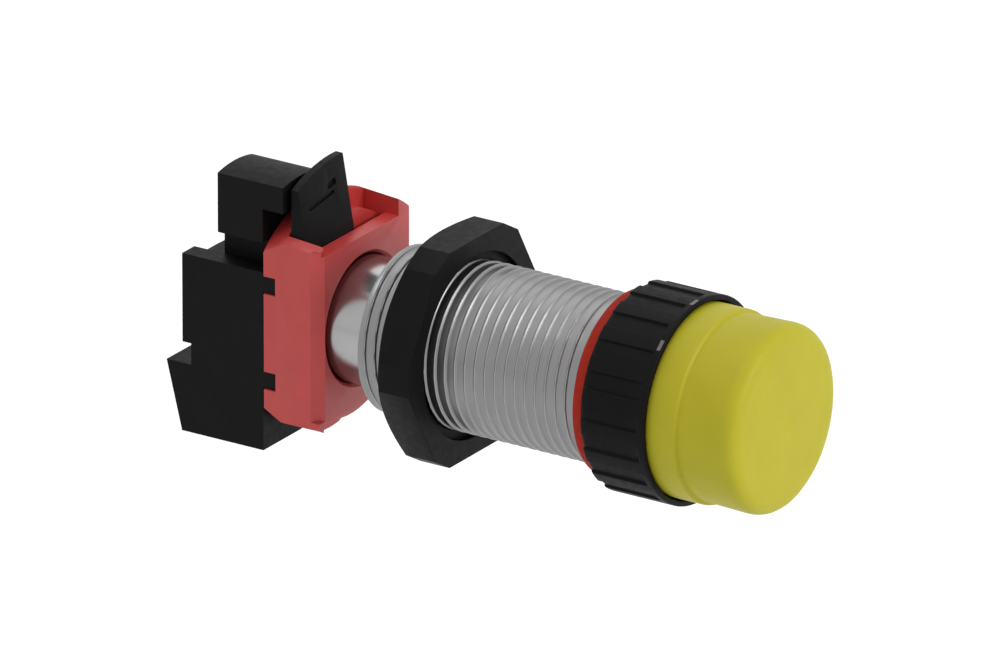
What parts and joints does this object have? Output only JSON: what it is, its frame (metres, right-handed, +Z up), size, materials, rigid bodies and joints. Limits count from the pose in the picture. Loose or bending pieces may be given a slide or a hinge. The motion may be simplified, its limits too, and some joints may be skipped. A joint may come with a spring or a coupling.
{
  "type": "emergency stop button",
  "caption": "Panel mounted push button stop control with yellow cap, threaded metal barrel, lock nut, red adapter with locking lever and a screw terminal contact block.",
  "frame": {"origin": "centre of the panel gasket's rear face, which lies on the panel's front face, on the barrel axis", "axes": "+Y runs along the barrel axis from the button to the contact block, so the button faces -Y; +Z is up, towards the locking lever; +X is right as seen from the front"},
  "size_m": [0.0314, 0.0866, 0.0379],
  "materials": {
    "button_yellow": "satin moulded yellow plastic",
    "black_plastic": "satin moulded black plastic",
    "red_plastic": "satin moulded red plastic",
    "white_plastic": "natural nylon",
    "red_rubber": "matt rubber",
    "black_rubber": "matt rubber",
    "mark_white": "matt light plastic",
    "barrel_metal": "nickel plated, turned",
    "spring_steel": "bright spring steel",
    "contact_brass": "rolled brass strip",
    "contact_silver": "silver contact facing",
    "screw_steel": "zinc plated"
  },
  "bodies": {
    "root": {"bezel_ring": "black_plastic", "bezel_index_marks": "mark_white", "panel_gasket": "red_rubber", "threaded_barrel": "barrel_metal", "guide_sleeve": "white_plastic", "lip_seal": "black_rubber", "adapter_collar": "red_plastic", "ring_retainer": "red_plastic", "contact_housing": "black_plastic", "contact_cover": "black_plastic", "fixed_contact_upper": "contact_brass", "fixed_contact_lower": "contact_brass", "fixed_contact_tips": "contact_silver", "clamp_plate_upper": "screw_steel", "clamp_plate_lower": "screw_steel", "return_spring": "spring_steel", "plunger_return_spring": "spring_steel"},
    "button": {"button_cap": "button_yellow", "plunger_stem": "white_plastic", "actuator_pad": "black_plastic", "retaining_clip": "spring_steel"},
    "contact_carrier": {"contact_plunger": "white_plastic", "moving_bridge": "contact_brass", "bridge_contacts": "contact_silver", "bridge_spring": "spring_steel"},
    "lever": {"locking_lever": "black_plastic", "lock_ring": "black_plastic"},
    "nut": {"lock_nut": "black_plastic"},
    "upper_screw": {"terminal_screw_upper": "screw_steel"},
    "lower_screw": {"terminal_screw_lower": "screw_steel"}
  },
  "joints": [
    {"name": "button_push", "type": "slide", "parent": "root", "child": "button", "axis": [0, 1, 0], "range_m": [0, 0.0043], "stiffness_N_per_m": 500, "springref_m": -0.003, "deforming": ["return_spring"]},
    {"name": "contact_push", "type": "slide", "parent": "root", "child": "contact_carrier", "axis": [0, 1, 0], "range_m": [0, 0.0043], "stiffness_N_per_m": 150, "springref_m": -0.002, "deforming": ["plunger_return_spring"]},
    {"name": "lever_lock", "type": "hinge", "parent": "root", "child": "lever", "pos_m": [0, 0.0417, 0], "axis": [0, 1, 0], "range_deg": [0, 24]},
    {"name": "nut_travel", "type": "slide", "parent": "root", "child": "nut", "axis": [0, 1, 0], "range_m": [-0.021, 0.004]},
    {"name": "upper_screw_turn", "type": "hinge", "parent": "root", "child": "upper_screw", "pos_m": [-0.0061, 0.053, 0.01538], "axis": [0, 1, 0], "continuous": true},
    {"name": "lower_screw_turn", "type": "hinge", "parent": "root", "child": "lower_screw", "pos_m": [-0.0051, 0.056, -0.01192], "axis": [0, 1, 0], "continuous": true}
  ],
  "couplings": [
    {"joint": "contact_push", "follows": "button_push", "ratio": 1}
  ]
}
